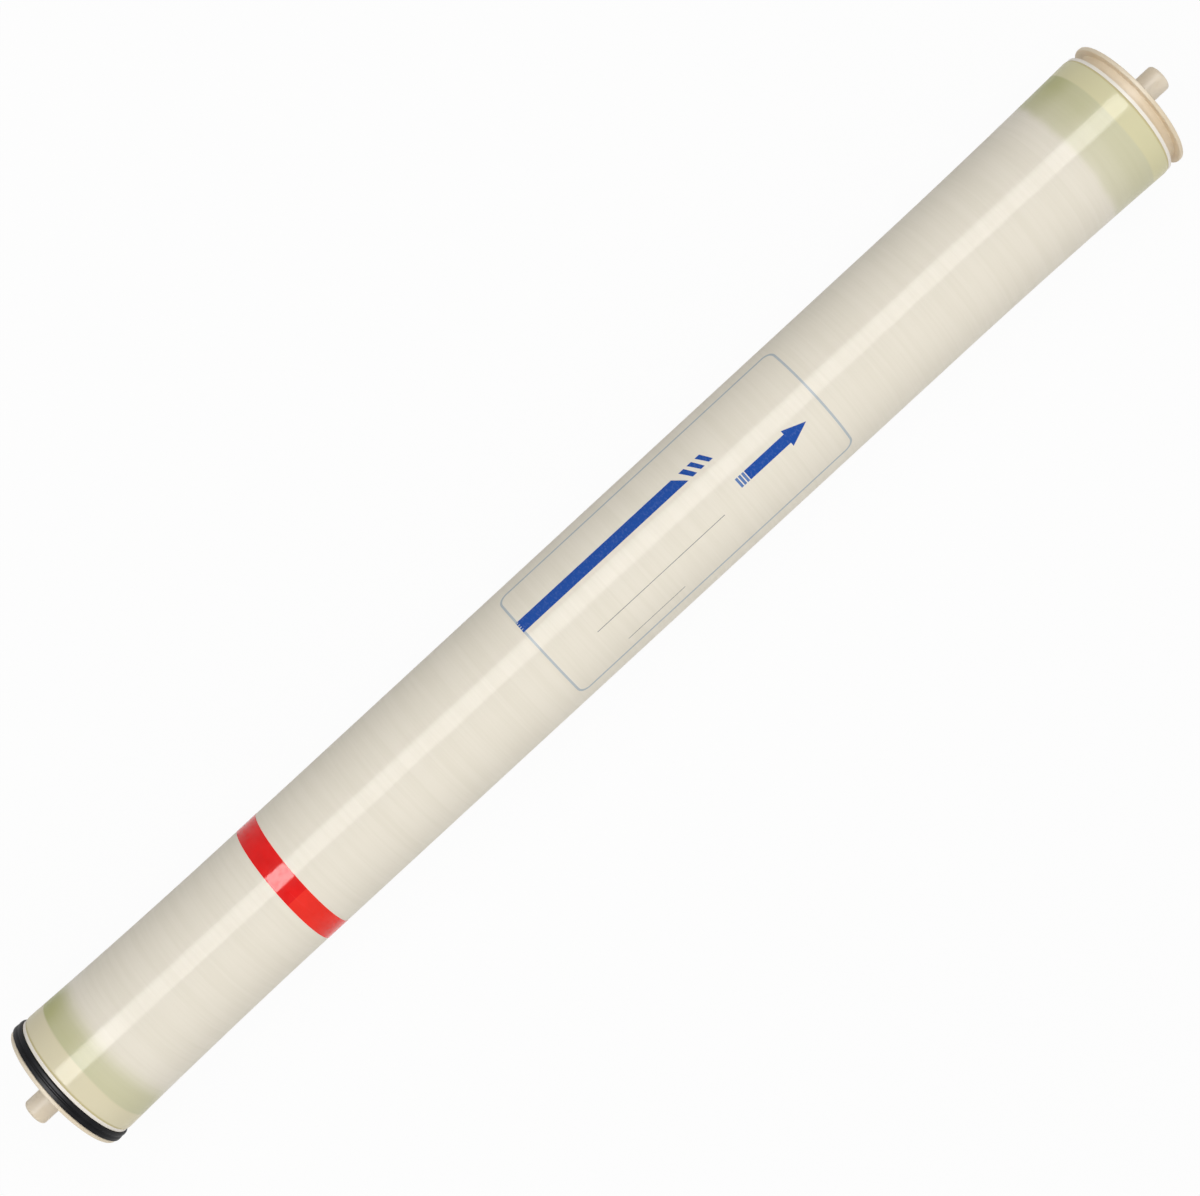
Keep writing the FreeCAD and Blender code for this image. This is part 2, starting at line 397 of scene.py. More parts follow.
def wound_glass(settings):
    """Glass strands wound nearly square to the axis, under clear resin that pools green beside the caps."""
    r = material_recipe("wound_glass")
    along = r.size(r.x)
    fine = r.noise((430.0, 12.0, 12.0), detail=3.0, roughness=0.6)
    broad = r.noise((150.0, 9.0, 9.0), detail=2.0, shift=(3.0, 0.0, 0.0))
    cloud = r.noise((14.0, 26.0, 26.0), detail=3.0, shift=(7.0, 2.0, 5.0))
    strands = r.step(fine * 0.6 + broad * 0.4, 0.36, 0.66)
    colour = r.mix(strands, settings.glass, settings.strand)

    # The green resin pools are deepest down the +Y side, and that extra depth is painted shade. The one at
    # the feed end is shorter and starts more softly.
    feed = r.step(0 - r.x, 0.0, 0.01)
    start = feed * 0.007 + cloud * 0.008 + settings.pool_start
    edge = r.step(along, start, start + feed * 0.008 + 0.008)
    deep = r.step(along, start + 0.004, settings.pool_deep)
    # Painted shade: the green grows stronger towards +Y
    depth = r.step(r.y, 0.004, 0.022) * 0.12 + r.step(r.y, 0.03, 0.046) * 0.24 + feed * 0.06 + 0.48
    colour = r.mix((edge * 0.7 + deep * 0.3) * depth, colour, settings.pool)
    rim = r.step(0 - r.y, 0.0, 0.04) * 0.0015 - feed * 0.001 + settings.cover
    cover = r.step(along + fine * 0.0014, rim - 0.0002, rim + 0.0016)
    colour = r.mix(cover, colour, r.mix(feed, settings.cover_glass, settings.feed_glass))
    cut = r.step(along, shell_end - settings.shoulder, shell_end - settings.trim)
    colour = r.mix(cut, colour, settings.cut)

    gloss = r.noise((260.0, 40.0, 40.0), detail=2.0, shift=(1.0, 9.0, 4.0))
    height = fine * 0.5 + broad * 0.5 + cloud * 0.6 * cover
    return r.finish(
        Base_Color=colour,
        Roughness=0.3 + gloss * 0.2,
        Normal=r.bump(height, 0.0001, 0.2),
        Coat_Weight=0.25 + r.step(along, 0.4, 0.44) * 0.25,
        Coat_Roughness=0.14,
        **RESIN,
    )


def red_film(name, colour_of_film):
    """Red film under the resin, with faint strand marks and uneven shine."""
    r = material_recipe(name)
    fine = r.noise((700.0, 16.0, 16.0), detail=3.0, roughness=0.6)
    patch = r.noise((90.0, 60.0, 60.0), detail=3.0, shift=(4.0, 1.0, 2.0))
    pale = tuple(c * 0.93 + 0.07 for c in colour_of_film)
    dark = tuple(c * 0.9 for c in colour_of_film)
    colour = r.mix(r.step(patch, 0.3, 0.7), dark, colour_of_film)
    colour = r.mix(r.step(fine, 0.6, 0.85) * 0.3, colour, pale)
    speckle = r.noise((700.0, 500.0, 500.0), detail=1.0)
    mottle = r.noise((520.0, 420.0, 420.0), detail=2.0, shift=(2.0, 5.0, 8.0))
    return r.finish(
        Base_Color=colour,
        Roughness=0.2 + speckle * 0.25,
        Normal=r.bump(speckle * 0.7 + patch * 0.6, 0.00014, 0.5),
        Coat_Weight=1.0 - r.step(mottle, 0.5, 0.7) * 0.5,
        Coat_Roughness=0.09,
        **RESIN,
    )


def ink(name, colour_of_ink):
    """Print under the resin, slightly uneven."""
    r = material_recipe(name)
    grain = r.noise((700.0, 500.0, 500.0), detail=2.0)
    pale = tuple(c * 0.88 + 0.12 for c in colour_of_ink)
    colour = r.mix(r.step(grain, 0.45, 0.8) * 0.35, colour_of_ink, pale)
    return r.finish(
        Base_Color=colour, Roughness=0.3 + grain * 0.15, Coat_Weight=0.3, Coat_Roughness=0.11, **RESIN
    )


def moulded_plastic(name, colour_of_plastic, roughness, painted_highlight_span=None):
    """Cream plastic with flow marks and the grain of a mould, and a painted highlight between two places
    along the axis.
    """
    r = material_recipe(name)
    flow = r.noise((30.0, 30.0, 30.0), detail=3.0)
    grit = r.noise((2200.0, 2200.0, 2200.0), detail=2.0)
    warm = tuple(c * f for c, f in zip(colour_of_plastic, (0.97, 0.93, 0.86)))
    pale = tuple(min(1.0, c * 1.05) for c in colour_of_plastic)
    colour = r.mix(r.step(flow, 0.3, 0.7), warm, pale)
    # Painted highlight: the plastic turns paler between the two places
    if painted_highlight_span:
        start, end = painted_highlight_span
        along = r.size(r.x)
        inside = r.step(along, start - 0.0002, start + 0.0003) - r.step(along, end - 0.0004, end + 0.0001)
        white = tuple(1 - (1 - c) * 0.55 for c in colour_of_plastic)
        colour = r.mix(inside, colour, white)
    return r.finish(
        Base_Color=colour,
        Roughness=roughness + flow * 0.12,
        Normal=r.bump(grit, 0.00004, 0.4),
        IOR=1.5,
        Specular_IOR_Level=0.14,
    )


def black_rubber(colour_of_rubber):
    """Rubber with a slight bloom."""
    r = material_recipe("black_rubber")
    bloom = r.noise((60.0, 60.0, 60.0), detail=4.0)
    grit = r.noise((1800.0, 1800.0, 1800.0), detail=2.0)
    dusty = tuple(c * 1.6 + 0.002 for c in colour_of_rubber)
    colour = r.mix(r.step(bloom, 0.4, 0.75), colour_of_rubber, dusty)
    return r.finish(
        Base_Color=colour,
        Roughness=0.36 + bloom * 0.16,
        Normal=r.bump(grit, 0.00005, 0.5),
        IOR=1.5,
        Specular_IOR_Level=0.1,
    )


def membrane_sheet(colour_of_sheet):
    """The cut edges of the folded sheets, with a little fraying."""
    r = material_recipe("membrane_sheet")
    fray = r.noise((1200.0, 1200.0, 1200.0), detail=3.0)
    stain = r.noise((50.0, 50.0, 50.0), detail=2.0)
    darker = tuple(c * f for c, f in zip(colour_of_sheet, (0.86, 0.83, 0.76)))
    colour = r.mix(r.step(stain, 0.35, 0.7), colour_of_sheet, darker)
    rough = r.bump(fray, 0.0002, 0.5)
    return r.finish(Base_Color=colour, Roughness=0.6 + fray * 0.2, Normal=rough, IOR=1.45)


def spacer_net(colour_of_net):
    """The feed spacer: crossing strands of a diamond net, with painted shade in its gaps."""
    r = material_recipe("spacer_net")
    net = r.node("TexVoronoi", {"feature": "DISTANCE_TO_EDGE"}, {"Vector": r.place, "Scale": 900.0})
    strand = 1.0 - r.step(net, 0.04, 0.16)
    # Painted shade: the gaps between the strands are dark
    dark = tuple(c * 0.35 for c in colour_of_net)
    colour = r.mix(strand, dark, colour_of_net)
    raised = r.bump(strand, 0.0003, 0.6)
    return r.finish(Base_Color=colour, Roughness=0.7 - strand * 0.2, Normal=raised, IOR=1.45)


def closing_tape_finish(colour_of_tape):
    """Woven tape, seen only where a cap leaves a gap."""
    r = material_recipe("closing_tape_finish")
    weave = r.noise((1500.0, 300.0, 300.0), detail=2.0)
    darker = tuple(c * 0.9 for c in colour_of_tape)
    colour = r.mix(r.step(weave, 0.35, 0.65), colour_of_tape, darker)
    woven = r.bump(weave, 0.00008, 0.6)
    return r.finish(Base_Color=colour, Roughness=0.45 + weave * 0.2, Normal=woven, IOR=1.45)


# Meshes

TOUCHING = 1e-6  # points nearer than this lie at the same place


def polar(x, radius, angle):
    """The point at a place along the axis, a distance from it and an angle from +Y."""
    return Vector((x, radius * cos(angle), radius * sin(angle)))


def profile(*corners):
    """A flat face in the XZ plane, from (x, radius) corners, and its corner points."""
    bm = bmesh.new()
    points = [bm.verts.new((x, 0, radius)) for x, radius in corners]
    bm.faces.new(points)
    return bm, points


def rounded(bm, corners, reach, segments=4, affect="VERTICES"):
    """Rounds corners of a flat face, or edges of a solid, each rounding reaching so far to the sides."""
    bmesh.ops.bevel(
        bm,
        geom=corners,
        offset=reach,
        offset_type="OFFSET",
        segments=segments,
        profile=0.5,
        affect=affect,
        material=-1,
    )


def turned(bm, segments):
    """Sweeps the flat profile once round X, and points its faces outwards."""
    bmesh.ops.delete(bm, geom=bm.faces[:], context="FACES_ONLY")
    bmesh.ops.spin(
        bm,
        geom=bm.verts[:] + bm.edges[:],
        cent=(0, 0, 0),
        axis=(1, 0, 0),
        dvec=(0, 0, 0),
        angle=2 * pi,
        steps=segments,
        use_merge=True,
    )
    bmesh.ops.remove_doubles(bm, verts=bm.verts, dist=TOUCHING / 10)
    bmesh.ops.recalc_face_normals(bm, faces=bm.faces)


def extruded(bm, faces, travel, keep=True):
    """Extrudes the faces, with or without a copy left in their place, and returns the moved points."""
    grown = bmesh.ops.extrude_face_region(bm, geom=faces, use_keep_orig=keep)
    moved = [v for v in grown["geom"] if isinstance(v, bmesh.types.BMVert)]
    bmesh.ops.translate(bm, verts=moved, vec=travel)
    return moved


def crease(bm):
    """Smooth faces, with the sharp edges left sharp."""
    for face in bm.faces:
        face.smooth = True
    for edge in bm.edges:
        if len(edge.link_faces) == 2:
            edge.smooth = edge.calc_face_angle(0) < radians(35)


def mesh_from(bm, name="scratch"):
    """Turns a bmesh into a mesh."""
    mesh = bpy.data.meshes.new(name)
    bm.to_mesh(mesh)
    bm.free()
    return mesh


def placed(data, name="scratch"):
    """A new object in the scene."""
    thing = bpy.data.objects.new(name, data)
    bpy.context.scene.collection.objects.link(thing)
    return thing


def combined(first, second, operation):
    """The exact union or difference of two closed bmeshes, as a new bmesh."""
    objects = [placed(mesh_from(bm)) for bm in (first, second)]
    cut = objects[0].modifiers.new("Combine", "BOOLEAN")
    cut.operation = operation
    cut.solver = "EXACT"
    cut.object = objects[1]
    whole_thing = objects[0].evaluated_get(bpy.context.evaluated_depsgraph_get())
    result = bmesh.new()
    result.from_mesh(whole_thing.data)
    for thing in objects:
        mesh = thing.data
        bpy.data.objects.remove(thing)
        bpy.data.meshes.remove(mesh)
    bmesh.ops.remove_doubles(result, verts=result.verts, dist=TOUCHING / 5)
    return result


def piece(name, bm, materials, nodes=(), even=True):
    """Makes the finished piece from a bmesh, riding on the one body in place of its CAD nodes."""
    crease(bm)
    mesh = mesh_from(bm, name)
    for material in materials:
        mesh.materials.append(material)
    thing = placed(mesh, name)
    if even:
        weights = thing.modifiers.new("Even shading", "WEIGHTED_NORMAL")
        weights.keep_sharp = True
    if nodes:
        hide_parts(*nodes)
    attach(thing, "root")


def settings_of(context):
    """All the settings of the element."""
    return context.scene.membrane_element


# Pieces


class MEMBRANE_OT_tube(bpy.types.Operator):
    """Build the perforated permeate tube"""

    bl_idname = "membrane.tube"
    bl_label = "Permeate Tube"

    def execute(self, context):
        tube = settings_of(context).tube
        caps = settings_of(context).caps
        hub_face = cap_face - caps.hub_recess
        stub = tube_radius - tube.step
        bore = tube_radius - tube.wall
        bm, points = profile(
            (-tip, bore),
            (-tip, stub),
            (-hub_face, stub),
            (-hub_face, tube_radius),
            (hub_face, tube_radius),
            (hub_face, stub),
            (tip, stub),
            (tip, bore),
        )
        rounded(bm, [points[1], points[6]], tube.tip_round, 6)
        rounded(bm, [points[0], points[7]], tube.bore_round, 3)
        turned(bm, 96)
        bored = combined(bm, self.drills(tube), "DIFFERENCE")
        material = moulded_plastic("tube_plastic", tube.plastic[:], 0.34)
        piece("permeate_tube_bored", bored, [material], ["permeate_tube"])
        return {"FINISHED"}

    def drills(self, tube):
        """Drills through one wall of the tube, each a quarter turn on from the last."""
        bm = bmesh.new()
        half = tube.hole / 2
        count = int(2 * roll_end / tube.pitch)
        for i in range(count):
            drill = bmesh.ops.create_cone(
                bm, cap_ends=True, segments=32, radius1=half, radius2=half, depth=tube.drill
            )["verts"]
            where = tube.pitch * (i - (count - 1) / 2)
            bmesh.ops.translate(bm, verts=drill, vec=(where, 0, tube_radius))
            quarter = Matrix.Rotation(i * pi / 2, 3, "X")
            bmesh.ops.rotate(bm, verts=drill, cent=(0, 0, 0), matrix=quarter)
        return bm


class MEMBRANE_OT_roll(bpy.types.Operator):
    """Build the wound leaves and finish the tape round them"""

    bl_idname = "membrane.roll"
    bl_label = "Membrane Roll"

    def execute(self, context):
        roll = settings_of(context).roll
        caps = settings_of(context).caps
        materials = [membrane_sheet(roll.membrane[:]), spacer_net(roll.spacer[:])]
        for number in range(roll.leaves):
            bm = self.leaf(roll, tube_radius + caps.hub_play, number)
            name = "membrane_leaf_%d" % (number + 1)
            piece(name + "_wound", bm, materials, [name], even=False)
        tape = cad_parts["closing_tape"]
        finish = closing_tape_finish(roll.tape[:])
        for slot in tape.material_slots:
            slot.material = finish
        return {"FINISHED"}

    def leaf(self, roll, inner, number):
        """A leaf wound as the involute of a polygon: each arc is struck from the next corner."""
        pitch = roll.leaf + roll.gap
        sector = 2 * pi / roll.leaves
        corner = pitch / (2 * sin(sector / 2))
        flat = pitch / (2 * tan(sector / 2))
        outer = shell_bore - roll.tape_wall - roll.gap
        first = sqrt(inner**2 - flat**2) + pitch / 2
        last = sqrt(outer**2 - flat**2) - pitch / 2 - roll.leaf
        steps = int((last - first) / pitch) + 1
        end = roll_end - roll.recess

        # A row of points across the leaf, a sheet and a gap by turns
        space = (roll.leaf - roll.sheets * roll.sheet) / roll.sheets
        depths = [0.0]
        for _ in range(roll.sheets):
            depths += [depths[-1] + roll.sheet, depths[-1] + roll.sheet + space]
        bm = bmesh.new()
        middle = polar(-end, corner, number * sector)
        start = number * sector - pi / 2 - sector / 2
        row = [bm.verts.new(middle + polar(0, first + depth, start)) for depth in depths]
        strip = row + [bm.edges.new(pair) for pair in zip(row, row[1:])]
        for step in range(steps):
            swept = bmesh.ops.spin(
                bm,
                geom=strip,
                cent=polar(0, corner, (step + number) * sector),
                axis=(1, 0, 0),
                dvec=(0, 0, 0),
                angle=sector,
                steps=10 + 2 * step,
                use_merge=False,
            )
            strip = swept["geom_last"]
        bmesh.ops.remove_doubles(bm, verts=bm.verts, dist=TOUCHING / 10)

        # Every other strip of faces is spacer, told apart by its width, and lies inside the sheets' edges.
        for face in bm.faces:
            across = min(edge.calc_length() for edge in face.edges)
            face.material_index = 0 if across < (roll.sheet + space) / 2 else 1
        extruded(bm, bm.faces[:], (2 * end, 0, 0))
        for side in (-1, 1):
            sheets = [face for face in bm.faces if face.material_index == 0]
            ends = [face for face in sheets if all(abs(v.co.x - side * end) < TOUCHING for v in face.verts)]
            extruded(bm, ends, (side * roll.recess, 0, 0), keep=False)
        bmesh.ops.recalc_face_normals(bm, faces=bm.faces)
        return bm


class MEMBRANE_OT_caps(bpy.types.Operator):
    """Build the two end caps with their spokes and hubs"""

    bl_idname = "membrane.caps"
    bl_label = "End Caps"

    def execute(self, context):
        caps = settings_of(context).caps
        # The collar gets a painted highlight, paler than the rest of the cap
        collar = (shell_end, shell_end + caps.collar)
        material = moulded_plastic("cap_plastic", caps.plastic[:], 0.36, collar)
        brine = self.cap(caps)
        feed = brine.copy()
        bmesh.ops.rotate(feed, verts=feed.verts, cent=(0, 0, 0), matrix=Matrix.Rotation(pi, 3, "Z"))
        piece("brine_end_cap", brine, [material], ["end_caps"])
        piece("feed_end_cap", feed, [material], ["end_caps"])
        return {"FINISHED"}

    def cap(self, caps):
        """One moulding at the brine end."""
        seat = cap_face - caps.depth
        groove_outer = cap_face - caps.flange
        groove_inner = groove_outer - caps.groove
        groove_floor = shell_bore - caps.groove_step
        rim_bore = shell_bore - caps.rim_wall
        collar_radius = end_radius - caps.collar_drop
        rim, points = profile(
            (cap_face, rim_bore),
            (cap_face, flange_radius),
            (groove_outer, flange_radius),
            (groove_outer, groove_floor),
            (groove_inner, groove_floor),
            (groove_inner, collar_radius),
            (shell_end, collar_radius),
            (shell_end, shell_bore),
            (seat, shell_bore),
            (seat, rim_bore),
        )
        rounded(rim, [points[0]], caps.face_round)
        rounded(rim, [points[1], points[2]], caps.flange_round)
        rounded(rim, [points[3], points[4]], caps.groove_round, 3)
        rounded(rim, [points[5], points[6]], caps.collar_round, 3)
        turned(rim, 192)
        hub_bore = tube_radius + caps.hub_play
        hub_radius = hub_bore + caps.hub_wall
        hub_face = cap_face - caps.hub_recess
        hub, points = profile(
            (seat, hub_bore), (seat, hub_radius), (hub_face, hub_radius), (hub_face, hub_bore)
        )
        rounded(hub, [points[2]], caps.face_round)
        rounded(hub, [points[3]], caps.collar_round, 3)
        turned(hub, 96)
        mesh = mesh_from(hub)
        rim.from_mesh(mesh)
        bpy.data.meshes.remove(mesh)
        spokes = self.spokes(caps, seat, hub_bore, hub_radius, rim_bore, groove_floor)
        return combined(rim, spokes, "UNION")

    def spokes(self, caps, seat, hub_bore, hub_radius, rim_bore, groove_floor):
        """All the spokes, each flaring where it runs into the hub and the rim."""
        half = caps.spoke_width / 2
        wide = half + caps.fillet
        root = (hub_bore + hub_radius) / 2
        reach = (rim_bore + groove_floor) / 2
        at_hub = sqrt(hub_radius**2 - wide**2)
        at_rim = sqrt(rim_bore**2 - wide**2)
        right = [(wide, root), (wide, at_hub), (half, at_hub), (half, at_rim), (wide, at_rim), (wide, reach)]
        corners = right + [(-y, z) for y, z in reversed(right)]
        # With faces that coincide, the union would come out a little different each time.
        foot = seat + caps.spoke_recess
        bm = bmesh.new()
        for i in range(caps.spokes):
            before = set(bm.verts)
            points = [bm.verts.new((foot, y, z)) for y, z in corners]
            bm.faces.new(points)
            rounded(bm, [points[2], points[3], points[8], points[9]], caps.fillet * 0.999, 6)
            face = [f for f in bm.faces if not any(v in before for v in f.verts)][0]
            lifted = extruded(bm, [face], (caps.spoke_depth - caps.spoke_recess, 0, 0))
            top = [e for e in bm.edges if all(v in lifted for v in e.verts)]
            rounded(bm, top, caps.spoke_round, 3, "EDGES")
            new = [v for v in bm.verts if v not in before]
            angle = 2 * pi * (i + 0.5) / caps.spokes
            bmesh.ops.rotate(bm, verts=new, cent=(0, 0, 0), matrix=Matrix.Rotation(angle, 3, "X"))
        bmesh.ops.recalc_face_normals(bm, faces=bm.faces)
        return bm


class MEMBRANE_OT_seal(bpy.types.Operator):
    """Build the brine seal with its ribs and cup"""

    bl_idname = "membrane.seal"
    bl_label = "Brine Seal"

    def execute(self, context):
        seal = settings_of(context).seal
        middle = (seal_heel + seal_mouth) / 2
        rib = lip_radius - seal.rib_drop
        waist = lip_radius - seal.waist
        bm, points = profile(
            (seal_heel, seal.floor),
            (seal_heel, lip_radius - seal.heel_drop),
            (middle + seal.waist_top, rib),
            (middle + seal.waist_floor, waist),
            (middle - seal.waist_floor, waist),
            (middle - seal.waist_top, rib),
            (seal_mouth, lip_radius),
            (seal_mouth + seal.cup, lip_radius - seal.lip),
            (seal_mouth, seal.floor + seal.foot),
            (seal_mouth, seal.floor),
        )
        rounded(bm, [points[1]], seal.heel_round, 5)
        rounded(bm, [points[2], points[5]], seal.rib_round, 3)
        rounded(bm, [points[6]], seal.lip_round, 3)
        rounded(bm, [points[7]], seal.cup_round)
        rounded(bm, [points[8]], seal.rib_round, 3)
        turned(bm, 224)
        piece("brine_seal_ribbed", bm, [black_rubber(seal.rubber[:])], ["brine_seal"])
        return {"FINISHED"}


class MEMBRANE_OT_shell(bpy.types.Operator):
    """Build the glass-fibre shell with its swelling ends"""

    bl_idname = "membrane.shell"
    bl_label = "Fibreglass Shell"

    def execute(self, context):
        shell = settings_of(context).shell
        outer = shell_bore + shell.wall
        swell_end = shell_end - shell.shoulder
        gain = end_radius - outer
        bm, points = profile(
            (shell_end, shell_bore),
            (shell_end, end_radius - shell.edge_drop),
            (swell_end, outer),
            (shell.straight, outer),
            (-shell.straight, outer),
            (-swell_end, outer),
            (-shell_end, end_radius - shell.edge_drop),
            (-shell_end, shell_bore),
        )
        for side in [e for e in bm.edges if all(abs(v.co.z - outer) < TOUCHING for v in e.verts)]:
            bmesh.ops.subdivide_edges(bm, edges=[side], cuts=24)
        for point in bm.verts:
            travel = (abs(point.co.x) - shell.straight) / (swell_end - shell.straight)
            if 0 < travel < 1.0001 and abs(point.co.z - outer) < TOUCHING:
                point.co.z += gain * travel**2
        rounded(bm, [v for v in bm.verts if v.co.z > end_radius - TOUCHING], shell.shoulder * 0.9, 8)
        turned(bm, 256)
        glass = wound_glass(shell)
        piece("fibreglass_shell_wound", bm, [glass], ["fibreglass_shell"])
        return {"FINISHED"}


FACET = 0.002  # width of the facets of a wrapped film


def wrapped(bm, radius):
    """Rolls a flat bmesh in the XY plane, Y being the distance round, onto a cylinder about X."""
    low = min(v.co.y for v in bm.verts)
    high = max(v.co.y for v in bm.verts)
    cuts = int((high - low) / FACET)
    for i in range(1, cuts + 1):
        bmesh.ops.bisect_plane(
            bm,
            geom=bm.verts[:] + bm.edges[:] + bm.faces[:],
            dist=TOUCHING / 10,
            plane_co=(0, low + (high - low) * i / (cuts + 1), 0),
            plane_no=(0, 1, 0),
        )
    for v in bm.verts:
        angle = v.co.y / radius
        height = radius + v.co.z
        v.co.y, v.co.z = height * sin(angle), height * cos(angle)


def thickened(bm, thickness):
    """Gives a flat bmesh in the XY plane a thickness, upwards."""
    bmesh.ops.recalc_face_normals(bm, faces=bm.faces)
    extruded(bm, bm.faces[:], (0, 0, thickness))
    bmesh.ops.recalc_face_normals(bm, faces=bm.faces)


def flat_shape(bm, corners):
    """Adds a flat face in the XY plane, and returns its points."""
    points = [bm.verts.new((x, y, 0)) for x, y in corners]
    bm.faces.new(points)
    return points


def rectangle(low_x, high_x, low_y, high_y):
    """The corners of a rectangle in the XY plane."""
    return [(low_x, low_y), (high_x, low_y), (high_x, high_y), (low_x, high_y)]


class MEMBRANE_OT_films(bpy.types.Operator):
    """Build the red band and the label's film"""

    bl_idname = "membrane.films"
    bl_label = "Band and Label"

    def execute(self, context):
        films = settings_of(context).films
        self.band(films)
        self.lap(films)
        half = label_half(films)
        bm = bmesh.new()
        points = flat_shape(bm, rectangle(label_low, label_high, -half, half))
        rounded(bm, points, settings_of(context).prints.corner, 8)
        thickened(bm, films.film)
        wrapped(bm, film_radius - films.film)
        glass = bpy.data.materials["wound_glass"]
        piece("label_film_printed", bm, [glass], ["label_film"])
        return {"FINISHED"}

    def band(self, films):
        """One turn of red film."""
        inner = film_radius - films.film
        bm, points = profile(
            (band_low, inner), (band_low, film_radius), (band_high, film_radius), (band_high, inner)
        )
        rounded(bm, [points[1], points[2]], films.film_round, 2)
        turned(bm, 256)
        self.lean(bm, films)
        piece("red_band", bm, [red_film("red_film", films.red[:])], ["colour_band"])

    def lap(self, films):
        """The second layer, where the two ends of the band lap."""
        bm = bmesh.new()
        low, high = films.lap_start * film_radius, films.lap_end * film_radius
        flat_shape(bm, rectangle(band_low + films.lap_low, band_high - films.lap_high, low, high))
        thickened(bm, films.lap)
        wrapped(bm, film_radius)
        self.lean(bm, films)
        piece("red_band_lap", bm, [red_film("deep_red_film", films.deep_red[:])])

    def lean(self, bm, films):
        """Slides the band along the element a little, forwards on one side and back on the other."""
        for v in bm.verts:
            v.co.x += films.skew * v.co.y / film_radius


def label_half(films):
    """Half the label's height, measured round the shell."""
    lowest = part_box("label_film")[0].z
    inner = film_radius - films.film
    return film_radius * atan2(sqrt(inner**2 - lowest**2), lowest)


# Where each stripe begins and ends on the bar's lower edge
STRIPES = ((0.0975, 0.1013), (0.1047, 0.108), (0.1117, 0.1151))

# Where each writing line begins and ends, and its lower edge
LINES = ((-0.016, 0.096, -0.0184), (-0.004, 0.046, -0.0394))


class MEMBRANE_OT_prints(bpy.types.Operator):
    """Build the label's outline, bar, arrow and blank writing lines"""

    bl_idname = "membrane.prints"
    bl_label = "Prints"

    def execute(self, context):
        prints = settings_of(context).prints
        self.outline(prints, label_half(settings_of(context).films) - prints.margin)
        self.bar(prints)
        self.arrow(prints)
        self.writing_lines(prints)
        return {"FINISHED"}

    def outline(self, prints, half):
        bm = bmesh.new()
        edge = prints.margin
        points = flat_shape(bm, rectangle(label_low + edge, label_high - edge, -half, half))
        rounded(bm, points, prints.corner - edge, 8)
        bmesh.ops.inset_region(
            bm, faces=bm.faces[:], thickness=prints.outline, use_even_offset=True, use_boundary=True
        )
        inside = max(bm.faces, key=lambda face: face.calc_area())
        bmesh.ops.delete(bm, geom=[inside], context="FACES")
        self.printed("label_outline", bm, ink("pale_blue_ink", prints.pale_blue[:]), prints)

    def bar(self, prints):
        """The bar, whose slanting end breaks up into stripes."""
        bm = bmesh.new()
        low, high = prints.bar_low, prints.bar_high
        start, end = label_low + prints.margin, prints.bar_end
        flat_shape(bm, [(start, low), (end, low), (end - prints.bar_slant, high), (start, high)])
        for near, far in STRIPES:
            near_high = near - prints.stripe_slant
            far_high = far - prints.stripe_slant + prints.stripe_flare
            flat_shape(bm, [(near, low), (far, low), (far_high, high), (near_high, high)])
        self.printed("label_bar", bm, ink("blue_ink", prints.blue[:]), prints)

    def arrow(self, prints):
        """The arrow that points downstream, with paler bars behind it."""
        bm = bmesh.new()
        middle, neck = prints.arrow_middle, prints.arrow_neck
        low, high = middle - prints.shaft, middle + prints.shaft
        flat_shape(
            bm,
            [
                (prints.arrow_start, low),
                (neck, low),
                (neck, middle - prints.head),
                (prints.arrow_tip, middle),
                (neck, middle + prints.head),
                (neck, high),
                (prints.arrow_start, high),
            ],
        )
        self.printed("flow_arrow", bm, bpy.data.materials["blue_ink"], prints)
        tail = bmesh.new()
        for i in range(prints.tail_bars):
            near = prints.tail_start + i * prints.tail_pitch
            flat_shape(tail, rectangle(near, near + prints.tail_bar, low, high))
        self.printed("flow_arrow_tail", tail, ink("tint_ink", prints.tint[:]), prints)

    def writing_lines(self, prints):
        bm = bmesh.new()
        for near, far, below in LINES:
            flat_shape(bm, rectangle(near, far, below, below + prints.rule))
        self.printed("writing_lines", bm, ink("grey_ink", prints.grey[:]), prints)

    def printed(self, name, bm, material, prints):
        """A flat shape wrapped onto the label as a film of ink."""
        thickened(bm, prints.ink)
        wrapped(bm, film_radius)
        piece(name, bm, [material])


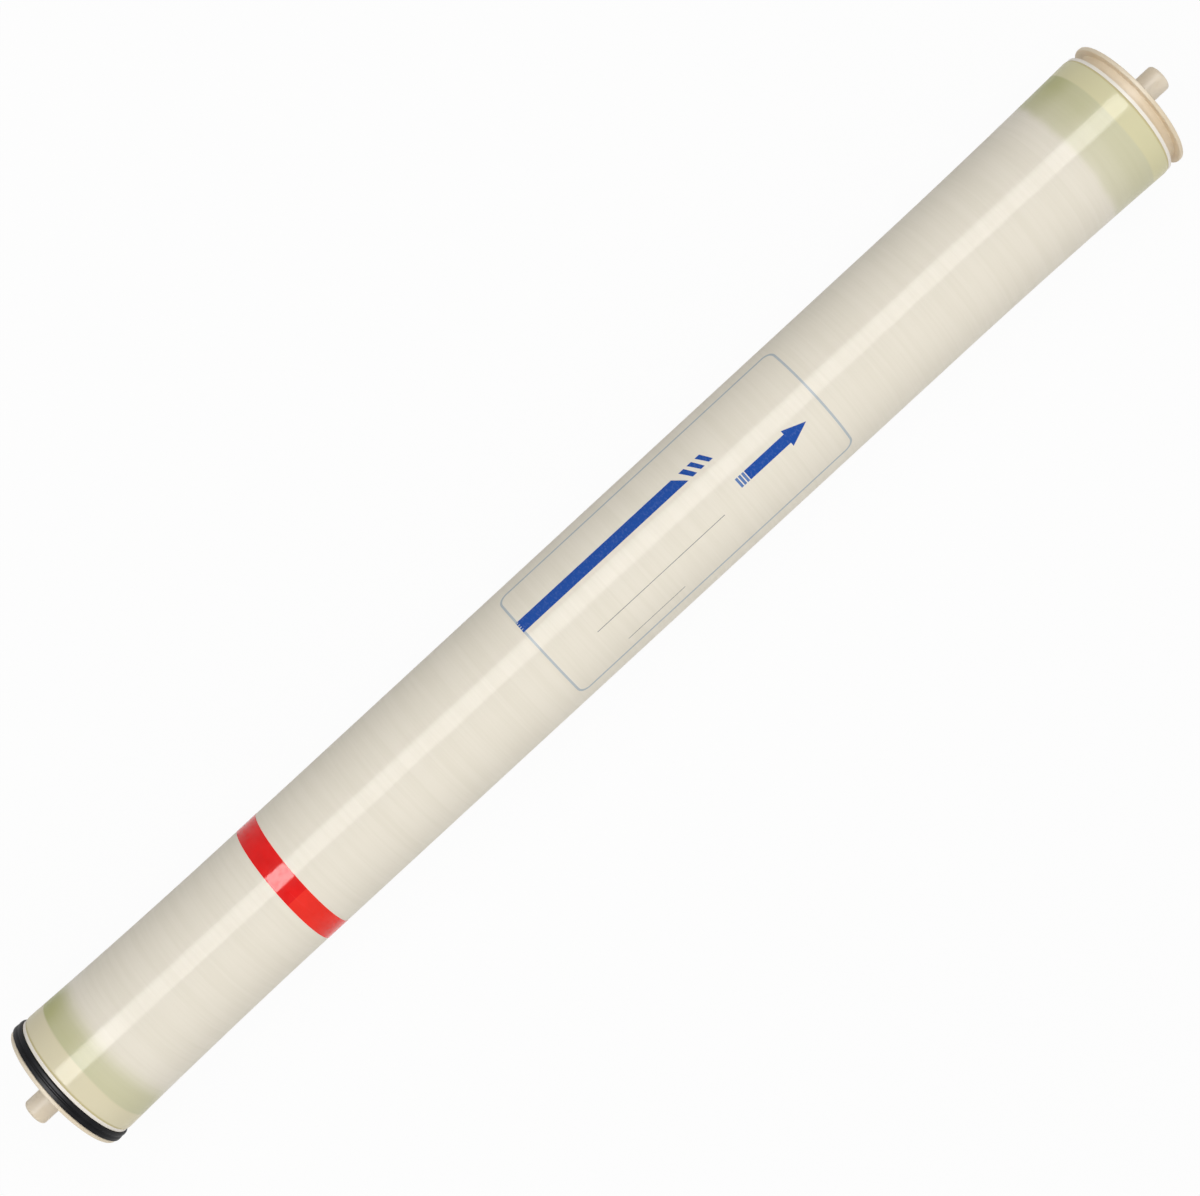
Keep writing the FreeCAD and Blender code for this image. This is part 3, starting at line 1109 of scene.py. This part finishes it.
class MEMBRANE_OT_stage(bpy.types.Operator):
    """Set up the floor, the lights and the camera"""

    bl_idname = "membrane.stage"
    bl_label = "Studio"

    def execute(self, context):
        stage = settings_of(context).stage
        toward = Vector((0, -cos(stage.elevation), sin(stage.elevation)))
        across = Vector((0, sin(stage.elevation), cos(stage.elevation)))
        self.floor(stage)
        self.surroundings(context, stage)
        key = toward * cos(stage.key_side) + across * sin(stage.key_side)
        box = self.light("softbox", key * stage.key_away, (stage.light_length, stage.key_width), stage.key)
        box.visible_glossy = False
        strip = self.light(
            "strip_light", key * stage.strip_away, (stage.light_length, stage.strip_width), stage.strip
        )
        strip.visible_diffuse = False
        self.camera(context, stage, toward, across)
        context.scene.view_settings.view_transform = "Standard"
        return {"FINISHED"}

    def floor(self, stage):
        """A sheet of paper that looks white, and keeps a little of the element's shadow."""
        bm = bmesh.new()
        bmesh.ops.create_grid(bm, x_segments=1, y_segments=1, size=stage.floor)
        bmesh.ops.translate(bm, verts=bm.verts, vec=(0, 0, cad_box[0].z))
        floor = placed(mesh_from(bm, "floor"), "floor")
        r = material_recipe("floor_paper")
        paper = r.mix(r.noise((8.0, 8.0, 8.0), detail=3.0), srgb(214, 214, 213), srgb(220, 220, 219))
        matt = r.node("BsdfDiffuse", inputs={"Color": paper})
        white = r.node("Emission", inputs={"Color": (1.0, 1.0, 1.0), "Strength": 1.0})
        both = r.node("MixShader", inputs={0: r.seen() * stage.white, 1: matt, 2: white})
        floor.data.materials.append(r.end(both))

    def surroundings(self, context, stage):
        """Light from all round, stronger on one side, and a backdrop behind in the floor's own white."""
        r = Recipe(bpy.data.worlds.new("studio"), "Generated")
        ends = {"To Min": stage.bright_side, "To Max": stage.dim_side}
        light = r.node("MapRange", inputs={"Value": r.y, "From Min": -1.0, "From Max": 1.0, **ends})
        backdrop = (1 + stage.white) / 2
        strength = r.node("Mix", {"data_type": "FLOAT"}, {0: r.seen(), 2: light, 3: backdrop})
        back = r.node("Background", inputs={"Color": (1.0, 1.0, 1.0), "Strength": strength})
        context.scene.world = r.end(back, "World")

    def light(self, name, where, sides, power):
        """A rectangular light that faces the middle of the element, its length along it."""
        lamp = bpy.data.lights.new(name, "AREA")
        lamp.shape = "RECTANGLE"
        lamp.size, lamp.size_y = sides
        lamp.energy = power
        thing = placed(lamp, name)
        back = where.normalized()
        along = Vector((1, 0, 0))
        thing.matrix_world = Matrix((along, back.cross(along), back)).transposed().to_4x4()
        thing.location = where
        thing.visible_camera = False
        return thing

    def camera(self, context, stage, toward, across):
        """The camera, rolled so that the element climbs across the picture."""
        along = Vector((1, 0, 0))
        right = along * cos(stage.roll) - across * sin(stage.roll)
        up = along * sin(stage.roll) + across * cos(stage.roll)
        lens = bpy.data.cameras.new("camera")
        lens.lens = stage.lens
        lens.sensor_width = 36.0
        lens.clip_end = 20.0
        thing = placed(lens, "camera")
        thing.matrix_world = Matrix((right, up, toward)).transposed().to_4x4()
        thing.location = toward * stage.distance + Vector(stage.aim)
        context.scene.camera = thing


# Each group of settings shares its name with the operator that builds by it.
SECTIONS = ("tube", "roll", "caps", "seal", "shell", "films", "prints", "stage")


class MEMBRANE_PT_panel(bpy.types.Panel):
    """Sizes, colours and build steps of the membrane element"""

    bl_idname = "MEMBRANE_PT_panel"
    bl_label = "Membrane Element"
    bl_space_type = "VIEW_3D"
    bl_region_type = "UI"
    bl_category = "Membrane Element"

    def draw(self, context):
        element = settings_of(context)
        for name in SECTIONS:
            box = self.layout.box()
            group = getattr(element, name)
            for key in group.bl_rna.properties.keys():
                if key not in ("rna_type", "name"):
                    box.prop(group, key)
            box.operator("membrane." + name)


CLASSES = (
    ShellSettings,
    CapSettings,
    SealSettings,
    TubeSettings,
    RollSettings,
    FilmSettings,
    PrintSettings,
    StageSettings,
    ElementSettings,
    MEMBRANE_OT_tube,
    MEMBRANE_OT_roll,
    MEMBRANE_OT_caps,
    MEMBRANE_OT_seal,
    MEMBRANE_OT_shell,
    MEMBRANE_OT_films,
    MEMBRANE_OT_prints,
    MEMBRANE_OT_stage,
    MEMBRANE_PT_panel,
)


def register():
    """Adds the settings, the operators and the panel."""
    for cls in CLASSES:
        bpy.utils.register_class(cls)
    bpy.types.Scene.membrane_element = PointerProperty(type=ElementSettings)


def unregister():
    """Takes them all away again."""
    del bpy.types.Scene.membrane_element
    for cls in reversed(CLASSES):
        bpy.utils.unregister_class(cls)


def main():
    """Builds every piece and the studio."""
    register()
    bpy.ops.membrane.tube()
    bpy.ops.membrane.roll()
    bpy.ops.membrane.caps()
    bpy.ops.membrane.seal()
    bpy.ops.membrane.shell()
    bpy.ops.membrane.films()
    bpy.ops.membrane.prints()
    bpy.ops.membrane.stage()
    bpy.context.view_layer.update()


if __name__ == "__main__":
    main()
